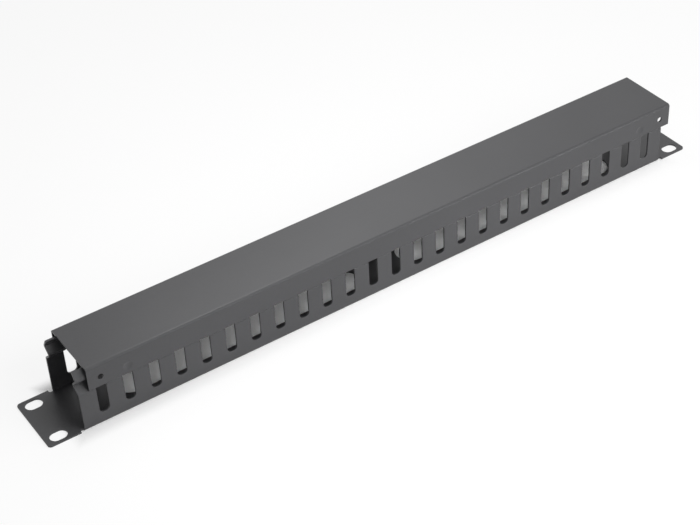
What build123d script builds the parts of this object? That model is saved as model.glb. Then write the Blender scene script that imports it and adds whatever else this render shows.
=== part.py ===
from build123d import *
from math import atan2, cos, sin
import os

# Horizontal cable manager for a 19-inch rack, one rack unit high, lying on its back plate.
# X runs along the plate, Y across it, Z out of it. Origin: middle of the plate's back face.
# It is two folded steel sheets: a base with two comb walls, and a cover that grips the fingers.

# Plate and its slots for the rack screws, which are inset from its ends and its long sides
plate_length = 482.6
plate_width = 43.3
plate_corner_radius = 2.2
rack_slot_end_inset = 8.75
rack_slot_side_inset = 5.775
rack_slot_length = 10.8
rack_slot_width = 7.8

# Base sheet, with the two walls folded up from the plate
base_thickness = 1.2
base_bend_radius = 0.2
ear_length = 23.1
wall_set_in = 0.6

# Crimp of each finger, from the plate up: shaft, groove, ridge and a lip that leans inward
shaft_height = 26.6
groove_rise = 4.9
groove_depth = 5.3
ridge_rise = 4.6
ridge_set_in = 0.65
lip_rise = 5.9
lip_lean = 3.6
crease_radius = 0.5

# Comb slots, cut through both walls at the same places
slot_pitch = 17.0
slot_width = 6.5
slot_floor_height = 7.9
slot_corner_radius = 2.5
end_finger_least = 8.0

# Relief notches between each ear and the walls
notch_width = 2.5
notch_corner_radius = 0.9
notch_past_bend = 0.1

# Two long openings in the plate, with a web between them
opening_width = 20.8
opening_end_margin = 30.0
centre_web = 31.0

# Cover sheet: it sits over the fingers' tips and outside their ridges
cover_thickness = 1.2
cover_bend_radius = 0.6
cover_end_set_in = 0.5
cover_shift = 6.0
tip_clearance = 0.4
ridge_clearance = 0.6
flange_foot_above_shaft = 1.3

# Holes and pressed dimples near the ends of both flanges
flange_hole_diameter = 3.6
flange_hole_inset = 8.2
flange_hole_drop = 9.1
dimple_inset = 25.5
dimple_diameter = 7.0
dimple_depth = 0.8
dimple_edge_margin = 1.4

# The rack slots' spacing, 465.1 by 31.75, and the walls, all from the plate's edges
rack_slot_spacing_x = plate_length - 2 * rack_slot_end_inset
rack_slot_spacing_y = plate_width - 2 * rack_slot_side_inset
wall_length = plate_length - 2 * ear_length

# Outer faces of the crimped finger, measured from the middle plane and from the back face
wall_face = plate_width / 2 - wall_set_in
groove_face = wall_face - groove_depth
ridge_face = wall_face - ridge_set_in
tip_face = ridge_face - lip_lean
groove_height = shaft_height + groove_rise
ridge_height = groove_height + ridge_rise
tip_height = ridge_height + lip_rise

# How far the ridge's rounding lies inside its sharp corner
crest_radius = crease_radius + base_thickness
ridge_slope = atan2(ridge_rise, groove_depth - ridge_set_in)
lip_slope = atan2(lip_rise, lip_lean)
ridge_cut = crest_radius * (cos((lip_slope - ridge_slope) / 2) / sin((lip_slope + ridge_slope) / 2) - 1)

# The cover takes its section from the fingers
cover_inner_face = ridge_face - ridge_cut + ridge_clearance
cover_face = cover_inner_face + cover_thickness
cover_top = tip_height + tip_clearance + cover_thickness
cover_foot = shaft_height + flange_foot_above_shaft
cover_length = wall_length - 2 * cover_end_set_in

# Each dimple is part of a ball, low enough on its flange for the bump inside to pass under the ridge
dish_radius = (dimple_diameter**2 / 4 + dimple_depth**2) / (2 * dimple_depth)
bump_reach = dish_radius + cover_thickness - dimple_depth
bump_radius = ((dish_radius + cover_thickness) ** 2 - bump_reach**2) ** 0.5
dimple_height = cover_foot + bump_radius + dimple_edge_margin

# The comb fills the wall between two end fingers that are at least end_finger_least wide
slot_run = wall_length - 2 * end_finger_least - slot_width
slot_count = int(slot_run / slot_pitch) + 1


def back_corners(face_corners, runs, thickness):
    """Corners of the sheet's back: each face corner goes through the sheet along its mitre."""
    corners = []
    for corner, before, after in zip(face_corners, runs[:1] + runs, runs + runs[-1:]):
        mitre = (before + after).normalized().rotate(Axis.Z, -90)
        depth = thickness / mitre.dot(before.rotate(Axis.Z, -90))
        corners.append(corner + mitre * depth)
    return corners


def folded_sheet(face_points, bend_radii, thickness, length):
    """A folded sheet along X, from the corners of its outer face in Y and Z, with the metal on their
    right. A bend's radius is that of its hollow side."""
    face = [Vector(y, z) for y, z in face_points]
    runs = [(end - start).normalized() for start, end in zip(face, face[1:])]
    folds_right = [before.cross(after).Z < 0 for before, after in zip(runs, runs[1:])]
    face_radii = [r + thickness if right else r for r, right in zip(bend_radii, folds_right)]
    back_radii = [r if right else r + thickness for r, right in zip(bend_radii, folds_right)]
    with BuildPart() as sheet:
        with BuildSketch(Plane.YZ):
            with BuildLine():
                front = FilletPolyline(*face, radius=face_radii)
                back = FilletPolyline(*back_corners(face, runs, thickness), radius=back_radii)
                Line(front @ 0, back @ 0)
                Line(front @ 1, back @ 1)
            make_face()
        extrude(amount=length / 2, both=True)
    return sheet.part


def channel():
    """The plate between the walls, the two bends and the two crimped walls, before the slots."""
    crimp = [
        (wall_face, shaft_height),
        (groove_face, groove_height),
        (ridge_face, ridge_height),
        (tip_face, tip_height),
    ]
    rear_wall = list(reversed(crimp))
    front_wall = [(-y, z) for y, z in crimp]
    corners = [(wall_face, 0), (-wall_face, 0)]
    radii = 3 * [crease_radius] + 2 * [base_bend_radius] + 3 * [crease_radius]
    return folded_sheet(rear_wall + corners + front_wall, radii, base_thickness, wall_length)


def ears():
    """The two flat ears beyond the walls, with rounded corners and relief notches."""
    notch_floor = wall_face - base_bend_radius - base_thickness - notch_past_bend
    notch_x = wall_length / 2 + notch_width / 2
    with BuildPart() as plate:
        with BuildSketch() as outline:
            Rectangle(plate_length, plate_width)
            fillet(outline.vertices(), plate_corner_radius)
            Rectangle(wall_length, plate_width, mode=Mode.SUBTRACT)
        extrude(amount=base_thickness)
        with BuildSketch() as notches:
            for side_x in (-1, 1):
                for side_y in (-1, 1):
                    with Locations((side_x * notch_x, side_y * (notch_floor + plate_width / 2))):
                        RectangleRounded(notch_width, plate_width, notch_corner_radius)
        extrude(amount=base_thickness, mode=Mode.SUBTRACT)
    return plate.part


def comb_slots():
    """Cutter for the slots of both walls: open at the fingers' tips, rounded at the floor."""
    height = tip_height - slot_floor_height + slot_corner_radius
    first = -(slot_count - 1) * slot_pitch / 2
    with BuildPart() as cutter:
        with BuildSketch(Plane.XZ) as outline:
            for i in range(slot_count):
                with Locations((first + i * slot_pitch, slot_floor_height + height / 2)):
                    Rectangle(slot_width, height)
            fillet(outline.vertices().group_by(Axis.Y)[0], slot_corner_radius)
        extrude(amount=plate_width, both=True)
    return cutter.part


def plate_cuts():
    """Cutter for the four rack slots and the two long openings."""
    opening_length = wall_length / 2 - opening_end_margin - centre_web / 2
    opening_x = centre_web / 2 + opening_length / 2
    with BuildPart() as cutter:
        with BuildSketch():
            with GridLocations(rack_slot_spacing_x, rack_slot_spacing_y, 2, 2):
                SlotOverall(rack_slot_length, rack_slot_width)
            with GridLocations(2 * opening_x, 0, 2, 1):
                SlotOverall(opening_length, opening_width)
        extrude(amount=base_thickness)
    return cutter.part


def base():
    sheet = channel() + ears()
    return sheet - comb_slots() - plate_cuts()


def dimple(x, side):
    """Dish and bump of one pressed dimple: a ball pushed into the flange from outside."""
    centre = Pos(x, side * (cover_face + dish_radius - dimple_depth), dimple_height)
    dish = centre * Sphere(dish_radius)
    inside = Box(4 * bump_radius, 2 * cover_inner_face, 4 * bump_radius)
    bump = (centre * Sphere(dish_radius + cover_thickness)) & (Pos(x, 0, dimple_height) * inside)
    return dish, bump


def cover():
    """Flat top and two flanges, with a hole and a dimple near each end of each flange."""
    section = [
        (-cover_face, cover_foot),
        (-cover_face, cover_top),
        (cover_face, cover_top),
        (cover_face, cover_foot),
    ]
    sheet = folded_sheet(section, 2 * [cover_bend_radius], cover_thickness, cover_length)
    bore = Cylinder(flange_hole_diameter / 2, 4 * cover_face, rotation=(90, 0, 0))
    for end in (-1, 1):
        hole_x = end * (cover_length / 2 - flange_hole_inset)
        sheet -= Pos(hole_x, 0, cover_top - flange_hole_drop) * bore
        for side in (-1, 1):
            dish, bump = dimple(end * (cover_length / 2 - dimple_inset), side)
            sheet = sheet + bump - dish
    return Pos(cover_shift, 0, 0) * sheet


os.makedirs("parts", exist_ok=True)
for name, solid in (("base", base()), ("cover", cover())):
    solid.label = name
    export_step(solid, f"parts/{name}.step")
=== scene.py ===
import math

import bmesh
import bpy
from bpy.props import FloatProperty, FloatVectorProperty, PointerProperty
from mathutils import Matrix, Vector


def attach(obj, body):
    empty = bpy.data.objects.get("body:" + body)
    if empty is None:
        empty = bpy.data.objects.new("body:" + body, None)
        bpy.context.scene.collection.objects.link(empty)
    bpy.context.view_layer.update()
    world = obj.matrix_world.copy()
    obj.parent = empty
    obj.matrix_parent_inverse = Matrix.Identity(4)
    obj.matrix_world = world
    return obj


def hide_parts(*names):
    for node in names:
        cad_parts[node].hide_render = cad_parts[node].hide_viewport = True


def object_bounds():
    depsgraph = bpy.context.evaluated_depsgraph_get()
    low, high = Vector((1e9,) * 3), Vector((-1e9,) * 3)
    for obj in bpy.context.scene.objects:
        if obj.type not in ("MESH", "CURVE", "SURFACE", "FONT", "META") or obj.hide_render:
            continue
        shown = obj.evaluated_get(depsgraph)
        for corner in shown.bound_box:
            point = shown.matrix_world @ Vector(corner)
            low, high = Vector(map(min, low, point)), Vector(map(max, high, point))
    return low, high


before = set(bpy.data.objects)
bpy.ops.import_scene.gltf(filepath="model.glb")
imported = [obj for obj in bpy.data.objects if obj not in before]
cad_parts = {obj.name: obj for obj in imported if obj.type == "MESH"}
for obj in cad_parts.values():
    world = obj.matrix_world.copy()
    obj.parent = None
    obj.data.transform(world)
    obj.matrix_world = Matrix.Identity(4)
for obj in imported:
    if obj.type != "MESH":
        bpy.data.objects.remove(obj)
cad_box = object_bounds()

bl_info = {
    "name": "Horizontal cable manager",
    "version": (1, 0, 0),
    "blender": (4, 5, 0),
    "location": "3D View > Sidebar > Cable manager",
    "description": "Dresses a folded sheet steel cable manager and its clip-on cover for a studio picture",
    "category": "Object",
}


def linear(hex_colour):
    """Turns an sRGB hex colour such as #3a3a3c into the linear values that Blender's sockets take."""
    channels = [int(hex_colour[i:i + 2], 16) / 255 for i in (1, 3, 5)]
    return tuple(c / 12.92 if c <= 0.04045 else ((c + 0.055) / 1.055) ** 2.4 for c in channels)


# Sizes and colours

class CableManagerCoat(bpy.types.PropertyGroup):
    """The powder coat on the two folded sheets."""
    colour: FloatVectorProperty(
        name="Coat colour", description="Colour of the black powder coat on the flat of the sheet",
        subtype="COLOR", size=3, min=0, max=1, default=linear("#3a3a3c"))
    # a little lighter than the flat coat: a painted highlight on the sheared edges
    edge_highlight_colour: FloatVectorProperty(
        name="Edge highlight colour", description="Colour of the sheared edges, lighter than the flat as a painted highlight",
        subtype="COLOR", size=3, min=0, max=1, default=linear("#3e3e40"))
    roughness: FloatProperty(
        name="Roughness", description="Roughness of the satin coat", subtype="FACTOR",
        min=0, max=1, default=0.37)
    edge_round: FloatProperty(
        name="Edge rounding", description="Radius that the coat gives every sheared edge",
        unit="LENGTH", min=0.00005, max=0.0005, default=0.00015)
    peel_pitch: FloatProperty(
        name="Orange peel pitch", description="Distance from one bump of the orange peel to the next",
        unit="LENGTH", min=0.0005, max=0.01, default=0.0016)
    peel_height: FloatProperty(
        name="Orange peel height", description="Height of the orange peel's bumps",
        unit="LENGTH", min=0, max=0.0001, default=0.000012)


class CableManagerStudio(bpy.types.PropertyGroup):
    """The floor, the lamps and the camera."""
    floor_colour: FloatVectorProperty(
        name="Floor colour", description="Colour of the white table",
        subtype="COLOR", size=3, min=0, max=1, default=linear("#e6e6e6"))
    floor_size: FloatProperty(
        name="Floor size", description="Length of the floor's sides", unit="LENGTH", min=1, default=12.0)
    floor_even: FloatProperty(
        name="Even white", description="How far the open floor is evened out to white around the object",
        subtype="FACTOR", min=0, max=1, default=0.85)
    ear_length: FloatProperty(
        name="Ear length", description="How far the plate's flat ears reach beyond the shaded floor",
        unit="LENGTH", min=0, default=0.023)
    surround_fill: FloatProperty(
        name="Surround fill", description="How strongly the white surround lights matt surfaces",
        min=0, max=2, default=0.2)
    lamp_aim: FloatVectorProperty(
        name="Lamp aim", description="The point that all softboxes face", subtype="TRANSLATION",
        size=3, default=(0.015, 0.0, 0.0))
    camera_place: FloatVectorProperty(
        name="Camera place", description="Where the camera stands", subtype="TRANSLATION",
        size=3, default=(-0.45723, -0.68969, 0.66355))
    camera_heading: FloatProperty(
        name="Camera heading", description="Turn about the vertical, from looking along Y",
        unit="ROTATION", default=math.radians(-32.352))
    camera_dip: FloatProperty(
        name="Camera dip", description="How far the camera looks down",
        unit="ROTATION", default=math.radians(38.523))
    camera_roll: FloatProperty(
        name="Camera roll", description="Turn about the camera's own line of sight",
        unit="ROTATION", default=math.radians(-3.141))
    camera_lens: FloatProperty(
        name="Lens", description="Focal length on a 36 mm wide sensor",
        unit="CAMERA", min=10, default=86.19)


# Nodes and materials

def add_node(tree, kind, settings=None, inputs=None):
    """Adds a node, sets its properties, and sets or links its inputs by name or number."""
    node = tree.nodes.new(kind)
    for name, value in (settings or {}).items():
        setattr(node, name, value)
    for name, value in (inputs or {}).items():
        if isinstance(value, bpy.types.NodeSocket):
            tree.links.new(value, node.inputs[name])
        else:
            node.inputs[name].default_value = value
    return node


def new_material(name):
    """An empty node material with its output, ready for a surface shader."""
    material = bpy.data.materials.new(name)
    material.use_nodes = True
    material.node_tree.nodes.clear()
    output = add_node(material.node_tree, "ShaderNodeOutputMaterial")
    return material, material.node_tree, output


NOISE_LEAST = 0.3       # a noise texture's values seldom lie outside these two
NOISE_MOST = 0.7
DRIFT_LENGTH = 0.060    # the sprayed film's thickness drifts over about this length
DRIFT_SHARE = 0.06      # and shifts the grey by up to this share
GRAIN_SHARE = 0.04      # the peel's bumps shift the grey by up to this share
GLOSS_SPREAD = 0.03     # and the roughness by up to this much


def spread(tree, noise, middle, reach):
    """Turns a noise texture into values from middle - reach to middle + reach."""
    mapped = add_node(tree, "ShaderNodeMapRange", inputs={
        "Value": noise.outputs["Fac"], "From Min": NOISE_LEAST, "From Max": NOISE_MOST,
        "To Min": middle - reach, "To Max": middle + reach})
    return mapped.outputs["Result"]


def powder_coat(name, coat, colour, roughness):
    """Satin black polyester powder coat, sprayed on steel sheet and baked.

    It gives the eye a dark grey that lifts towards white at a low angle, a soft broad gloss, and a
    very shallow orange peel that only shows where the gloss falls off.
    """
    material, tree, output = new_material(name)
    place = add_node(tree, "ShaderNodeTexCoord").outputs["Object"]
    drift = add_node(tree, "ShaderNodeTexNoise", inputs={
        "Vector": place, "Scale": 1 / DRIFT_LENGTH, "Detail": 2.0, "Roughness": 0.5})
    # baked resin flows into bumps, often finer than these, which are this coarse so that they show
    peel = add_node(tree, "ShaderNodeTexNoise", inputs={
        "Vector": place, "Scale": 1 / coat.peel_pitch, "Detail": 2.0, "Roughness": 0.55})
    shade = spread(tree, drift, 1, DRIFT_SHARE)
    grain = spread(tree, peel, 1, GRAIN_SHARE)
    both = add_node(tree, "ShaderNodeMath", {"operation": "MULTIPLY"}, {0: shade, 1: grain})
    grey = add_node(tree, "ShaderNodeVectorMath", {"operation": "SCALE"}, {
        0: colour, "Scale": both.outputs["Value"]})
    gloss = spread(tree, peel, roughness, GLOSS_SPREAD)
    bump = add_node(tree, "ShaderNodeBump", inputs={
        "Strength": 1.0, "Distance": coat.peel_height, "Height": peel.outputs["Fac"]})
    shader = add_node(tree, "ShaderNodeBsdfPrincipled", inputs={
        "Base Color": grey.outputs["Vector"], "Roughness": gloss,
        "Normal": bump.outputs["Normal"], "IOR": 1.5, "Metallic": 0.0})
    tree.links.new(shader.outputs["BSDF"], output.inputs["Surface"])
    return material


# Meshes

SHEARED_EDGE = math.radians(60)   # folds are smooth in the frame, so any sharper edge was cut
FLAT = math.radians(0.5)          # faces that turn by less are one flat face
SAME_PLACE = 1e-6                 # points closer than this are one point
SHEET_COAT, EDGE_HIGHLIGHT_COAT = 0, 1      # places of the two coats among a piece's materials; the second, on the rounded cut edges, is lighter as a painted highlight
LARGEST_FACE_ONLY = 100           # weight with which a point takes its normal from its largest face


def coated_copy(node, name, coat, materials):
    """A copy of a folded sheet whose cut edges are rounded, as the baked coat leaves them."""
    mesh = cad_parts[node].data.copy()
    mesh.name = name
    sheet = bmesh.new()
    sheet.from_mesh(mesh)
    bmesh.ops.remove_doubles(sheet, verts=sheet.verts, dist=SAME_PLACE)
    bmesh.ops.dissolve_limit(sheet, angle_limit=FLAT, verts=sheet.verts, edges=sheet.edges)
    cut = [e for e in sheet.edges if e.is_manifold and e.calc_face_angle_signed() > SHEARED_EDGE]
    for face in sheet.faces:
        face.material_index = SHEET_COAT
        face.smooth = True
    # the rounded cut edges take the lighter coat, a painted highlight
    bmesh.ops.bevel(
        sheet, geom=cut, offset=coat.edge_round, offset_type="OFFSET", segments=3, profile=0.5,
        affect="EDGES", clamp_overlap=False, material=EDGE_HIGHLIGHT_COAT, loop_slide=True)
    bmesh.ops.dissolve_degenerate(sheet, dist=SAME_PLACE, edges=sheet.edges)
    sheet.to_mesh(mesh)
    sheet.free()
    mesh.materials.clear()
    for material in materials:
        mesh.materials.append(material)
    # the frame's own normals don't fit the rounded edges
    if "custom_normal" in mesh.attributes:
        mesh.attributes.remove(mesh.attributes["custom_normal"])
    piece = bpy.data.objects.new(name, mesh)
    bpy.context.scene.collection.objects.link(piece)
    weighted = piece.modifiers.new("flat faces lead", "WEIGHTED_NORMAL")
    weighted.keep_sharp = False
    weighted.weight = LARGEST_FACE_ONLY
    return piece


# Operators: one for each piece and one for the stage

class CABLEMANAGER_OT_base(bpy.types.Operator):
    """Make the base: back plate, rack ears and the two walls of crimped fingers"""
    bl_idname = "cable_manager.base"
    bl_label = "Base"

    def execute(self, context):
        coat = context.scene.cable_manager_coat
        sheet = powder_coat("base_powder_coat_satin", coat, coat.colour, coat.roughness)
        # the lighter coat for the cut edges paints a highlight on them
        edge = powder_coat("base_powder_coat_edge_highlight", coat, coat.edge_highlight_colour, coat.roughness)
        piece = coated_copy("base", "base_sheet", coat, (sheet, edge))
        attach(piece, "base")
        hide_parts("base")
        return {"FINISHED"}


class CABLEMANAGER_OT_cover(bpy.types.Operator):
    """Make the cover: flat top, two flanges, their holes and pressed dimples"""
    bl_idname = "cable_manager.cover"
    bl_label = "Cover"

    def execute(self, context):
        coat = context.scene.cable_manager_coat
        sheet = powder_coat("cover_powder_coat_satin", coat, coat.colour, coat.roughness)
        # the lighter coat for the cut edges paints a highlight on them
        edge = powder_coat("cover_powder_coat_edge_highlight", coat, coat.edge_highlight_colour, coat.roughness)
        piece = coated_copy("cover", "cover_sheet", coat, (sheet, edge))
        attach(piece, "cover")
        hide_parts("cover")
        return {"FINISHED"}


# The lamps: name, height above the horizon and turn from +X in degrees, distance from the lamps' aim
# and sides of the diffuser in metres, power in watts, and whether the gloss mirrors it. The three
# that it doesn't mirror light only the matt part of the coat.
SOFTBOXES = (
    ("softbox_right", 30, 0, 1.6, (1.6, 1.4), 3.2, False),
    ("softbox_right_front", 32, -45, 1.6, (2.0, 1.8), 15.5, False),
    ("softbox_front", 42, -90, 0.4, (0.34, 0.24), 1.3, False),
    ("softbox_low", 10, -54, 0.85, (0.25, 0.10), 0.70, True),
    ("softbox_over", 70, 90, 0.4, (0.22, 0.18), 0.48, True),
    ("softbox_behind", 38, 57, 1.53, (0.3, 0.3), 0.60, True),
)


def softbox(name, height, turn, distance, size, power, mirrored, aim):
    """A rectangular studio lamp behind a diffuser, turned to a point. It isn't seen itself."""
    lamp = bpy.data.lights.new(name, "AREA")
    lamp.shape = "RECTANGLE"
    lamp.size, lamp.size_y = size
    lamp.energy = power
    box = bpy.data.objects.new(name, lamp)
    lift = Matrix.Rotation(-math.radians(height), 3, "Y")
    away = Matrix.Rotation(math.radians(turn), 3, "Z") @ lift @ Vector((1, 0, 0))
    box.location = Vector(aim) + distance * away
    box.rotation_euler = away.to_track_quat("Z", "Y").to_euler()
    box.visible_camera = False
    box.visible_glossy = mirrored
    return box


def seen_directly(tree):
    """1 for rays that show a surface to the eye, straight or mirrored, and 0 for light that it scatters."""
    rays = add_node(tree, "ShaderNodeLightPath")
    mirrored = add_node(tree, "ShaderNodeMath", {"operation": "MAXIMUM"}, {
        0: rays.outputs["Is Glossy Ray"], 1: rays.outputs["Is Transmission Ray"]})
    either = add_node(tree, "ShaderNodeMath", {"operation": "MAXIMUM"}, {
        0: rays.outputs["Is Camera Ray"], 1: mirrored.outputs["Value"]})
    return either.outputs["Value"]


FLOOR_DROP = 0.0002     # the table lies this far below the plate's back, clear of it
SHADE_FADE = 0.012      # from the walls outward, the table's own shade fades out over this length


def white_table(studio):
    """The floor: a white laminate table top, evened out to white a little way from the walls."""
    half = studio.floor_size / 2
    mesh = bpy.data.meshes.new("floor")
    corners = [(-half, -half, 0), (half, -half, 0), (half, half, 0), (-half, half, 0)]
    mesh.from_pydata(corners, [], [(0, 1, 2, 3)])
    floor = bpy.data.objects.new("floor", mesh)
    floor.location.z = cad_box[0][2] - FLOOR_DROP

    # matt melamine laminate, plain white: no gloss, so nothing mirrors in it
    material, tree, output = new_material("white_table_laminate")
    place = add_node(tree, "ShaderNodeTexCoord").outputs["Object"]
    folded = add_node(tree, "ShaderNodeVectorMath", {"operation": "ABSOLUTE"}, {0: place})
    beyond = add_node(tree, "ShaderNodeVectorMath", {"operation": "SUBTRACT"}, {
        0: folded.outputs["Vector"], 1: (cad_box[1][0] - studio.ear_length, cad_box[1][1], 0)})
    sides = add_node(tree, "ShaderNodeSeparateXYZ", inputs={0: beyond.outputs["Vector"]})
    farther = add_node(tree, "ShaderNodeMath", {"operation": "MAXIMUM"}, {
        0: sides.outputs["X"], 1: sides.outputs["Y"]})
    open_floor = add_node(tree, "ShaderNodeMapRange", {"interpolation_type": "SMOOTHSTEP"}, {
        "Value": farther.outputs["Value"], "From Max": SHADE_FADE, "To Max": studio.floor_even})
    table = add_node(tree, "ShaderNodeBsdfDiffuse", inputs={"Color": (*studio.floor_colour, 1)})
    white = add_node(tree, "ShaderNodeBsdfDiffuse", inputs={"Color": (1, 1, 1, 1)})
    even = add_node(tree, "ShaderNodeEmission", inputs={"Color": (1, 1, 1, 1), "Strength": 1.0})
    shown = add_node(tree, "ShaderNodeMixShader", inputs={
        0: open_floor.outputs["Result"], 1: white.outputs["BSDF"], 2: even.outputs["Emission"]})
    surface = add_node(tree, "ShaderNodeMixShader", inputs={
        0: seen_directly(tree), 1: table.outputs["BSDF"], 2: shown.outputs["Shader"]})
    # seen from below the table is clear, so that the object's underside shows
    below = add_node(tree, "ShaderNodeNewGeometry").outputs["Backfacing"]
    clear = add_node(tree, "ShaderNodeBsdfTransparent")
    sided = add_node(tree, "ShaderNodeMixShader", inputs={
        0: below, 1: surface.outputs["Shader"], 2: clear.outputs["BSDF"]})
    tree.links.new(sided.outputs["Shader"], output.inputs["Surface"])
    mesh.materials.append(material)
    return floor


def white_surround(studio):
    """The world: white wherever it is seen, and a soft fill for matt surfaces."""
    world = bpy.data.worlds.new("white_surround")
    world.use_nodes = True
    tree = world.node_tree
    tree.nodes.clear()
    strength = add_node(tree, "ShaderNodeMapRange", inputs={
        "Value": seen_directly(tree), "To Min": studio.surround_fill, "To Max": 1.0})
    sky = add_node(tree, "ShaderNodeBackground", inputs={
        "Color": (1, 1, 1, 1), "Strength": strength.outputs["Result"]})
    add_node(tree, "ShaderNodeOutputWorld", inputs={"Surface": sky.outputs["Background"]})
    return world


class CABLEMANAGER_OT_stage(bpy.types.Operator):
    """Make the white table, the softboxes, the white surround and the camera"""
    bl_idname = "cable_manager.stage"
    bl_label = "Stage"

    def execute(self, context):
        scene = context.scene
        studio = scene.cable_manager_studio
        scene.view_settings.view_transform = "Standard"

        floor = white_table(studio)
        scene.collection.objects.link(floor)

        for lamp in SOFTBOXES:
            scene.collection.objects.link(softbox(*lamp, studio.lamp_aim))
        scene.world = white_surround(studio)

        eye = bpy.data.cameras.new("camera")
        eye.sensor_width = 36
        eye.lens = studio.camera_lens
        camera = bpy.data.objects.new("camera", eye)
        camera.matrix_world = (
            Matrix.Translation(studio.camera_place)
            @ Matrix.Rotation(studio.camera_heading, 4, "Z")
            @ Matrix.Rotation(math.pi / 2 - studio.camera_dip, 4, "X")
            @ Matrix.Rotation(studio.camera_roll, 4, "Z"))
        scene.collection.objects.link(camera)
        scene.camera = camera
        return {"FINISHED"}


class CABLEMANAGER_PT_panel(bpy.types.Panel):
    """Lists the sizes, the colours and the steps"""
    bl_label = "Cable manager"
    bl_idname = "CABLEMANAGER_PT_panel"
    bl_space_type = "VIEW_3D"
    bl_region_type = "UI"
    bl_category = "Cable manager"

    def draw(self, context):
        for group in (context.scene.cable_manager_coat, context.scene.cable_manager_studio):
            box = self.layout.box()
            for name in group.__annotations__:
                box.prop(group, name)
        for step in STEPS:
            self.layout.operator(step.bl_idname)


STEPS = (CABLEMANAGER_OT_base, CABLEMANAGER_OT_cover, CABLEMANAGER_OT_stage)
CLASSES = (CableManagerCoat, CableManagerStudio, *STEPS, CABLEMANAGER_PT_panel)


def register():
    """Adds the classes and the two groups of settings to Blender."""
    for cls in CLASSES:
        bpy.utils.register_class(cls)
    bpy.types.Scene.cable_manager_coat = PointerProperty(type=CableManagerCoat)
    bpy.types.Scene.cable_manager_studio = PointerProperty(type=CableManagerStudio)


def unregister():
    """Takes them out again."""
    del bpy.types.Scene.cable_manager_studio
    del bpy.types.Scene.cable_manager_coat
    for cls in reversed(CLASSES):
        bpy.utils.unregister_class(cls)


def main():
    """Makes the pieces and the stage."""
    register()
    bpy.ops.cable_manager.base()
    bpy.ops.cable_manager.cover()
    bpy.ops.cable_manager.stage()


if __name__ == "__main__":
    main()
